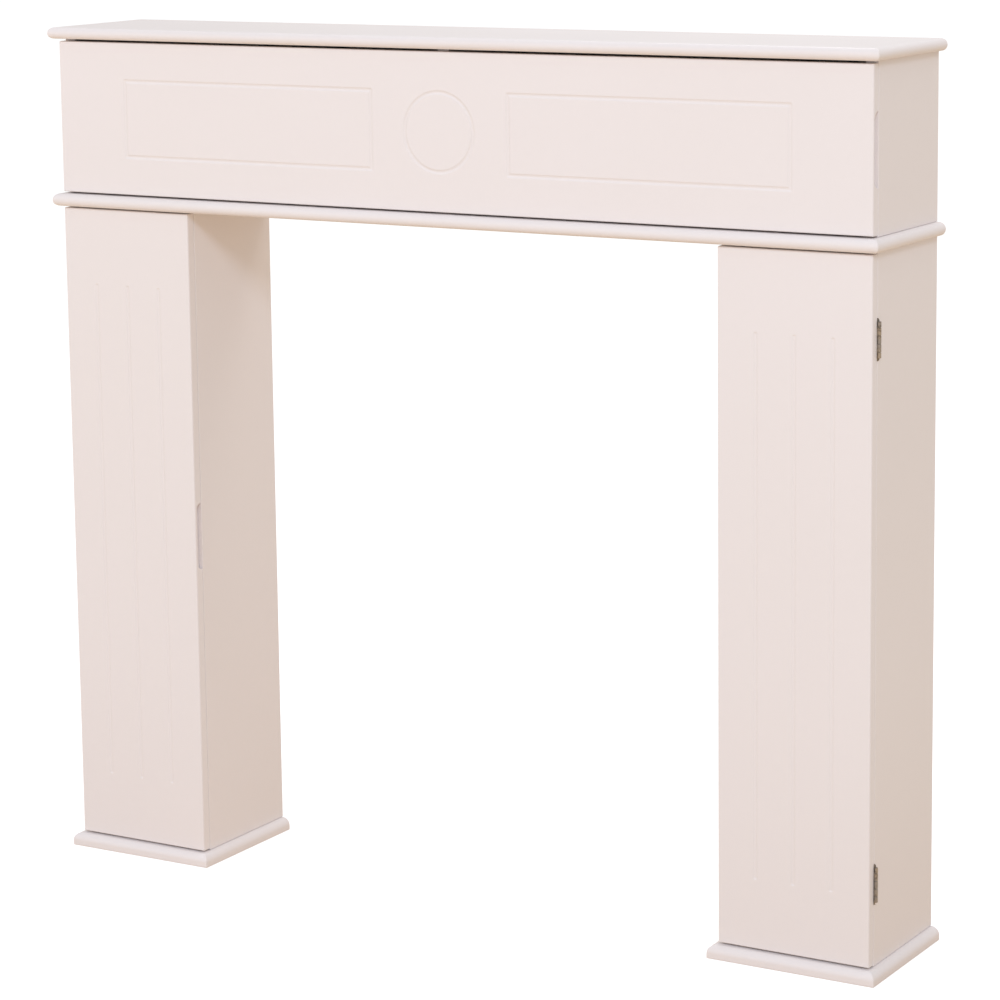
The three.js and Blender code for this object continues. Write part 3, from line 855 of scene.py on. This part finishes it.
def mantel_grooves(lo, hi):
    low, high = lo.z + OUTLINE_INSET, hi.z - OUTLINE_INSET
    left, right = lo.x + OUTLINE_MARGIN, hi.x - OUTLINE_MARGIN
    return [
        (panel_outline(left, left + OUTLINE_LENGTH, low, high), True),
        (ring_outline((lo.x + hi.x) / 2, (low + high) / 2, (high - low) / 2), True),
        (panel_outline(right - OUTLINE_LENGTH, right, low, high), True),
    ]


# Screws


def screw_head(radius, name):
    """A countersunk head with a cross recess, facing +Z, its rim at the origin's height."""
    bm = bmesh.new()

    def level(points, scale, depth):
        return [bm.verts.new((x * scale, y * scale, -depth * radius)) for x, y in points]

    circle = arc(0, 0, radius, all_round(SCREW_STEPS))
    arm, half = CROSS_REACH * radius, CROSS_HALF_WIDTH * radius
    quarter = [(arm, -half), (arm, half), (half, half)]
    cross = []
    for turn in range(4):
        spin = Matrix.Rotation(turn * math.pi / 2, 2)
        cross += [spin @ Vector(point) for point in quarter]
    rim = level(circle, 1, 0)
    neck = level(circle, NECK_RADIUS, NECK_DEPTH)
    mouth = level(cross, 1, 0)
    recess_floor = level(cross, CROSS_TAPER, CROSS_DEPTH)
    bridge(bm, rim, neck)
    bm.faces.new(neck)
    bridge(bm, mouth, recess_floor)
    bm.faces.new(recess_floor)
    edges = [bm.edges.get((a, b)) for ring in (rim, mouth) for a, b in zip(ring, ring[1:] + ring[:1])]
    bmesh.ops.triangle_fill(bm, use_beauty=True, edges=edges)
    return to_mesh(bm, name)


def screw_heads(name, host, slot, radius, places, facing):
    """Screw heads at the given places, all facing one way, as one piece."""
    head = screw_head(radius, name)
    turn = Vector(facing).to_track_quat("Z", "Y").to_matrix().to_4x4()
    random.seed(name)
    whole = bmesh.new()
    for place in places:
        spin = Matrix.Rotation(random.uniform(0, math.pi / 2), 4, "Z")
        copy = head.copy()
        copy.transform(Matrix.Translation(place) @ turn @ spin)
        whole.from_mesh(copy)
        bpy.data.meshes.remove(copy)
    return fit(name, to_mesh(whole, name), host, slot)


# Hinges


def knuckle_span(index, barrel):
    """The bottom and top of a knuckle, about the middle of a barrel of the given length."""
    joints = steps(-barrel / 2 + END_KNUCKLE, barrel / 2 - END_KNUCKLE, KNUCKLES - 1)
    levels = [-barrel / 2] + joints + [barrel / 2]
    return levels[index] + KNUCKLE_GAP / 2, levels[index + 1] - KNUCKLE_GAP / 2


def knuckle(radius, low, high, name):
    ease = KNUCKLE_EASE
    profile = [(0, low), (radius - ease, low), (radius, low + ease)]
    profile += [(radius, high - ease), (radius - ease, high), (0, high)]
    return turned(profile, (0, 0, 0), name, KNUCKLE_STEPS)


def plate(outline, near, far, name, ease=0.0):
    """A flat plate with an outline of (x, z) points, between y = near and y = far."""
    bm = bmesh.new()
    faces = [[bm.verts.new((x, y, z)) for x, z in outline] for y in (near, far)]
    bridge(bm, *faces)
    for face in faces:
        bm.faces.new(face)
    bmesh.ops.recalc_face_normals(bm, faces=bm.faces)
    if ease:
        round_edges(bm, ease, 2)
    return to_mesh(bm, name)


def leaf_outline(start, reach, half):
    """The flat of a leaf, with round outer corners."""
    outline = [(start, -half)]
    for z, begin in ((-half + LEAF_CORNER, -math.pi / 2), (half - LEAF_CORNER, 0)):
        angles = steps(begin, begin + math.pi / 2, CORNER_STEPS)
        outline += arc(reach - LEAF_CORNER, z, LEAF_CORNER, angles)
    return outline + [(start, half)]


def link_outline(index, low, high, inside, half):
    """The flat from a knuckle to its leaf. At an end knuckle it slants out to the corner of the leaf."""
    bottom = -half if index == 0 else low
    top = half if index == KNUCKLES - 1 else high
    lower = [(0, low), (LEAF_SHOULDER, bottom), (inside, bottom)]
    upper = [(inside, top), (LEAF_SHOULDER, top), (0, high)]
    return lower + upper


def hinge_leaf(hinge, kind):
    """A leaf made about its own pin axis, then put in place. Its countersinks face the other leaf."""
    node = f"{hinge}_{kind}_leaf"
    lo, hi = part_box(node)
    axis = middle_of(f"{hinge}_pin")
    pin_lo, pin_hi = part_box(f"{hinge}_pin")
    barrel = pin_hi.z - pin_lo.z + 2 * PIN_SUNK
    radius, reach = sorted((hi.x - axis.x, axis.x - lo.x))
    half = (hi.z - lo.z) / 2
    exposed = 1 if kind == "door" else -1
    near, far = sorted((-exposed * LEAF_NEAR, -exposed * LEAF_FAR))
    start = radius + KNUCKLE_GAP
    changes = []
    for index in range(kind == "door", KNUCKLES, 2):
        low, high = knuckle_span(index, barrel)
        changes.append(("UNION", knuckle(radius, low, high, node)))
        link = link_outline(index, low, high, start + LEAF_OVERLAP, half)
        changes.append(("UNION", plate(link, near, far, node)))
    bore = cylinder(KNUCKLE_BORE, KNUCKLE_BORE, (0, 0, -barrel), (0, 0, barrel))
    changes.append(("DIFFERENCE", to_mesh(bore, node)))
    face = -exposed * LEAF_NEAR
    screw_x = (start + reach) / 2
    screw_levels = (-LEAF_SCREW_SPACING / 2, LEAF_SCREW_SPACING / 2)
    for z in screw_levels:
        mouth = (screw_x, face + exposed * 0.2 * MM, z)
        end = (screw_x, face - exposed * 1.2 * MM, z)
        sink = cylinder(LEAF_SINK_MOUTH, LEAF_SINK_FLOOR, mouth, end)
        changes.append(("DIFFERENCE", to_mesh(sink, node)))
    mesh = combine(plate(leaf_outline(start, reach, half), near, far, node, LEAF_EASE), changes, node)
    hand = 1 if hi.x - axis.x > axis.x - lo.x else -1
    place = Matrix.Translation(axis) @ Matrix.Diagonal((hand, 1, 1, 1))
    mesh.transform(place)
    if hand < 0:
        mesh.flip_normals()
    stand_for(node, mesh)
    heads = [place @ Vector((screw_x, face - exposed * LEAF_HEAD_DEPTH, z)) for z in screw_levels]
    screw_heads(f"{node}_screws", node, "hinge_metal", LEAF_HEAD, heads, (0, exposed, 0))


def hinge_pin(node):
    """A plain rod with eased ends."""
    lo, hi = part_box(node)
    radius = (hi.x - lo.x) / 2
    half = (hi.z - lo.z) / 2
    upper = [(radius, half - PIN_EASE), (radius - PIN_EASE, half), (0, half)]
    lower = [(r, -z) for r, z in reversed(upper)]
    stand_for(node, turned(lower + upper, (lo + hi) / 2, node))


# Catches


def catch_case(node, magnet_node):
    """The moulded case, open at the front round its magnet, screwed to the board at its side."""
    lo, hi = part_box(node)
    magnet_lo, magnet_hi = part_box(magnet_node)
    bm = block(lo, hi)
    round_edges(bm, CASE_ROUNDING)
    play = Vector((MAGNET_PLAY, MAGNET_PLAY, MAGNET_PLAY))
    pocket_lo = magnet_lo - play
    pocket_lo.y = lo.y - 1 * MM
    cutters = [to_mesh(block(pocket_lo, magnet_hi + play), node)]
    on_right = min(abs(board_x - hi.x) for board_x in board_faces()) < 0.5 * MM
    open_x = lo.x if on_right else hi.x
    toward_board = Vector((1 if on_right else -1, 0, 0))
    screw_y = (magnet_hi.y + hi.y) / 2 + 1 * MM
    places = [Vector((open_x, screw_y, z)) for z in (lo.z + CASE_SCREW_INSET, hi.z - CASE_SCREW_INSET)]
    for place in places:
        start = place - toward_board * 0.5 * MM
        end = place + toward_board * CASE_SINK_DEPTH
        cutters.append(to_mesh(cylinder(CASE_SINK_MOUTH, CASE_SINK_FLOOR, start, end), node))
    stand_for(node, cut_out(to_mesh(bm, node), cutters, node))
    heads = [place + toward_board * CASE_HEAD_DEPTH for place in places]
    screw_heads(f"{node}_screws", node, "zinc_plate", SMALL_HEAD, heads, -toward_board)


def board_faces():
    """The x of every upright board face that could carry a catch, just past the glue line."""
    faces = []
    for node in ("left_inner_side", "right_inner_side", "mantel_right_end"):
        lo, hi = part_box(node)
        faces += [lo.x, hi.x]
    return faces


def magnet(node):
    """A dark magnet between two steel pole plates that stand slightly proud of it."""
    lo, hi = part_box(node)
    inset = Vector((POLE_THICKNESS, 0, MAGNET_INSET))
    core = block(lo + inset + Vector((0, MAGNET_SETBACK, 0)), hi - inset)
    round_edges(core, 0.15 * MM, 2)
    stand_for(node, to_mesh(core, node))
    thickness = POLE_THICKNESS - POLE_CLEARANCE
    poles = []
    for low, high in ((lo.x, lo.x + thickness), (hi.x - thickness, hi.x)):
        pole = block((low, lo.y, lo.z), (high, hi.y, hi.z))
        round_edges(pole, 0.2 * MM, 2)
        poles.append(pole)
    fit(f"{node}_poles", joined(poles, node), node, "zinc_plate")


def strike_plate(node):
    """A small steel plate with rounded corners, screwed to the back of the door."""
    lo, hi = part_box(node)
    middle = (lo + hi) / 2
    bm = block(lo, hi)
    thickness = hi.y - lo.y

    def at_corner(edge):
        return abs(edge.verts[0].co.y - edge.verts[1].co.y) > thickness / 2

    round_edges(bm, PLATE_CORNER, 5, at_corner)
    round_edges(bm, PLATE_ARRIS, 2)
    start = (middle.x, hi.y + 0.2 * MM, middle.z)
    end = (middle.x, lo.y - 0.2 * MM, middle.z)
    sink = to_mesh(cylinder(PLATE_SINK_MOUTH, PLATE_SINK_FLOOR, start, end), node)
    stand_for(node, cut_out(to_mesh(bm, node), [sink], node))
    place = Vector((middle.x, hi.y - 0.15 * MM, middle.z))
    screw_heads(f"{node}_screw", node, "zinc_plate", SMALL_HEAD, [place], (0, 1, 0))


# Fixings in the carcass


def pillar_screw(node):
    """A countersunk chipboard screw: cross recess in its head, and a threaded shank."""
    lo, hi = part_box(node)
    middle = (lo + hi) / 2
    head = (hi.x - lo.x) / 2
    core, crest = head * THREAD_CORE, head * THREAD_CREST
    shank = crest * 0.9
    height = hi.z - lo.z
    turns = int((height - THREAD_MARGIN) / THREAD_PITCH)
    profile = [(0, 0), (0.3 * MM, 0.2 * MM)]
    for turn in range(turns):
        base = THREAD_START + turn * THREAD_PITCH
        growth = min(1, (turn + 1) / TIP_TURNS)
        profile += [
            (core * growth, base),
            (crest * growth, base + 0.45 * THREAD_PITCH),
            (core * growth, base + 0.9 * THREAD_PITCH),
        ]
    profile += [(shank, height - 5 * MM), (shank, height - 3 * MM), (0, height - 2.9 * MM)]
    stand_for(node, turned(profile, (middle.x, middle.y, lo.z), node, 20))
    top = Vector((middle.x, middle.y, hi.z))
    screw_heads(f"{node}_head", node, "zinc_plate", head, [top], (0, 0, 1))


def dowel(node):
    """A fluted dowel with chamfered ends."""
    lo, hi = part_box(node)
    middle = (lo + hi) / 2
    radius = (hi.x - lo.x) / 2
    height = hi.z - lo.z
    end = radius - DOWEL_CHAMFER
    profile = [(0, 0), (end, 0), (radius, DOWEL_CHAMFER)]
    profile += [(radius, height - DOWEL_CHAMFER), (end, height), (0, height)]
    mesh = turned(profile, (middle.x, middle.y, lo.z), node, 48)
    for vertex in mesh.vertices:
        arm = Vector((vertex.co.x - middle.x, vertex.co.y - middle.y))
        if arm.length > radius / 2:
            angle = math.atan2(arm.y, arm.x)
            dip = DOWEL_FLUTE_DEPTH * (0.5 - 0.5 * math.cos(DOWEL_FLUTES * angle))
            arm *= 1 - dip / arm.length
            vertex.co.x, vertex.co.y = middle.x + arm.x, middle.y + arm.y
    stand_for(node, mesh)


def back_sheet(node, boards):
    """A thin sheet, pinned to the rear edges of the boards in front of it."""
    lo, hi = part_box(node)
    face = hi.y - NAIL_PROUD
    bm = block(lo, (hi.x, face, hi.z))
    round_edges(bm, 0.4 * MM, 2)
    stand_for(node, to_mesh(bm, node))
    random.seed(node)
    heads = []
    for name in boards:
        start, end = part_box(name)
        middle = (start + end) / 2
        upright = end.z - start.z > end.x - start.x
        for share in NAIL_PLACES:
            along = start.lerp(end, share)
            x = (middle.x if upright else along.x) + random.uniform(-NAIL_SCATTER, NAIL_SCATTER)
            z = (along.z if upright else middle.z) + random.uniform(-NAIL_SCATTER, NAIL_SCATTER)
            inside, outside = (x, face - 0.5 * MM, z), (x, hi.y, z)
            heads.append(cylinder(NAIL_RADIUS, 0.8 * NAIL_RADIUS, inside, outside, 16))
    fit(f"{node}_pins", joined(heads, node), node, "zinc_plate")


# The object

for name in ("top_board", "middle_board"):
    lo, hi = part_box(name)
    moulded = moulded_board(name, bullnose(hi.z - lo.z))
    if name == "middle_board":
        fixings = [n for n in frame["nodes"] if "_pillar_screw_" in n or "_pillar_dowel_" in n]
        moulded = cut_out(moulded, [fixing_hole(n) for n in sorted(fixings)], name)
    stand_for(name, moulded)

for side in ("left", "right"):
    plinth = f"{side}_plinth"
    lo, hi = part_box(plinth)
    stand_for(plinth, moulded_board(plinth, plinth_profile(hi.z - lo.z)))
    for panel, fixing in (("inner", "screw"), ("outer", "dowel")):
        holes = [fixing_hole(f"{side}_pillar_{fixing}_{place}") for place in ("front", "rear")]
        if panel == "outer":
            holes += frame_leaf_recesses(f"{side}_door")
        stand_for(f"{side}_{panel}_side", board(f"{side}_{panel}_side", 0, holes))
    shelves = [f"{side}_shelf_{level}" for level in ("lower", "middle", "upper")]
    for shelf in shelves:
        stand_for(shelf, board(shelf, 2))
    back_sheet(f"{side}_pillar_back", shelves)
    stand_for(f"{side}_door", door(f"{side}_door", side == "left", pillar_grooves))
    for place in ("front", "rear"):
        pillar_screw(f"{side}_pillar_screw_{place}")
        dowel(f"{side}_pillar_dowel_{place}")

stand_for("mantel_left_end", board("mantel_left_end", 0, frame_leaf_recesses("mantel_door")))
for upright in ("mantel_right_end", "mantel_divider"):
    stand_for(upright, board(upright, 0))
back_sheet("mantel_back", ["mantel_divider"])
stand_for("mantel_door", door("mantel_door", True, mantel_grooves))

for hung in ("left_door", "right_door", "mantel_door"):
    for place in ("lower", "upper"):
        hinge_leaf(f"{hung}_{place}_hinge", "frame")
        hinge_leaf(f"{hung}_{place}_hinge", "door")
        hinge_pin(f"{hung}_{place}_hinge_pin")
    catch_case(f"{hung}_catch_case", f"{hung}_catch_magnet")
    magnet(f"{hung}_catch_magnet")
    strike_plate(f"{hung}_strike_plate")


# Stage


def floor():
    """A wide pale floor, white with soft shadows to the camera. It throws warmer light on the object,
    with painted shade making that light darker near the object.
    """
    bm = bmesh.new()
    bmesh.ops.create_grid(bm, x_segments=1, y_segments=1, size=30)
    mesh = to_mesh(bm, "floor")
    material, tree, place = surface("floor")
    seen = add(tree, "ShaderNodeLightPath").outputs["Is Camera Ray"]
    cloud = ramp(tree, noise(tree, place, 1.5, 3), 0.3, 0.7)
    pale = mix(tree, cloud, srgb(246, 246, 246), srgb(243, 243, 243))
    distance = add(tree, "ShaderNodeVectorMath", {0: place}, operation="LENGTH").outputs["Value"]
    # painted shade: out to 0.7 m from the middle, under and round the object, the floor throws darker,
    # browner light, reaching its full tone by 1.3 m
    bounce_with_painted_shade = mix(tree, ramp(tree, distance, 0.7, 1.3), srgb(224, 198, 166), srgb(240, 219, 192))
    tone = mix(tree, seen, bounce_with_painted_shade, pale)
    glow = add(tree, "ShaderNodeMath", {0: seen, 1: 0.45}, operation="MULTIPLY").outputs[0]
    normal = bump(tree, noise(tree, place, 300, 2), 0.02 * MM)
    shade(tree, tone, 0.8, normal, **{"Emission Color": (1, 1, 1, 1), "Emission Strength": glow})
    mesh.materials.append(material)
    ground = bpy.data.objects.new("floor", mesh)
    scene.collection.objects.link(ground)


def area_light(name, place, aim, size, power, color):
    """A rectangular soft box, (width, height) in metres and power in watts."""
    data = bpy.data.lights.new(name, "AREA")
    data.shape = "RECTANGLE"
    data.size, data.size_y = size
    data.energy = power
    data.color = color
    light = bpy.data.objects.new(name, data)
    light.location = place
    light.rotation_mode = "QUATERNION"
    light.rotation_quaternion = (Vector(aim) - Vector(place)).to_track_quat("-Z", "Y")
    scene.collection.objects.link(light)


def world_light(seen, lit, strength):
    """The camera sees a white backdrop; surfaces are lit by a softer, warmer sky."""
    world = bpy.data.worlds.new("studio")
    world.use_nodes = True
    tree = world.node_tree
    tree.nodes.clear()
    path = add(tree, "ShaderNodeLightPath")
    backdrop = add(tree, "ShaderNodeBackground", {"Color": seen, "Strength": 1.0})
    sky = add(tree, "ShaderNodeBackground", {"Color": lit, "Strength": strength})
    chosen = add(tree, "ShaderNodeMixShader", {0: path.outputs["Is Camera Ray"]})
    tree.links.new(sky.outputs[0], chosen.inputs[1])
    tree.links.new(backdrop.outputs[0], chosen.inputs[2])
    output = add(tree, "ShaderNodeOutputWorld")
    tree.links.new(chosen.outputs[0], output.inputs["Surface"])
    scene.world = world


def camera():
    """Looks at the object from the right and a little above, with the lens shifted."""
    lo, hi = cad_bounds
    data = bpy.data.cameras.new("camera")
    data.sensor_width = 36
    data.lens = CAMERA_LENS
    data.shift_y = CAMERA_SHIFT_UP
    data.clip_start, data.clip_end = 0.01, 100
    eye = bpy.data.objects.new("camera", data)
    scene.collection.objects.link(eye)
    turn, tilt = math.radians(CAMERA_AZIMUTH), math.radians(CAMERA_ELEVATION)
    back = Vector((math.sin(turn) * math.cos(tilt), -math.cos(turn) * math.cos(tilt), math.sin(tilt)))
    aim = (-back).to_track_quat("-Z", "Y").to_matrix().to_4x4()
    pose = aim @ Matrix.Rotation(math.radians(CAMERA_ROLL), 4, "Z")
    across, upward = pose.col[0].xyz, pose.col[1].xyz
    target = Vector(((lo.x + hi.x) / 2, CAMERA_AIM_Y, (lo.z + hi.z) / 2))
    pose.translation = target + back * CAMERA_DISTANCE + across * CAMERA_RIGHT + upward * CAMERA_UP
    eye.matrix_world = pose
    scene.camera = eye


floor()
area_light(
    "key",
    place=(3.4, -4.8, 4.1),
    aim=(0, 0, 0.6),
    size=(1.5, 1.2),
    power=112,
    color=(0.82, 1.0, 1.28),
)
area_light(
    "fill",
    place=(-3.4, -5.2, 2.2),
    aim=(-0.2, 0, 0.5),
    size=(4.0, 3.6),
    power=80,
    color=(0.93, 0.985, 1.13),
)
area_light(
    "top",
    place=(0.3, 0.9, 2.4),
    aim=(0, 0, 1.0),
    size=(2.0, 0.6),
    power=10.5,
    color=(1.0, 0.99, 1.0),
)
world_light(seen=(1, 1, 1, 1), lit=(1.0, 0.99, 0.98, 1), strength=0.675)
camera()
scene.view_settings.view_transform = "Standard"
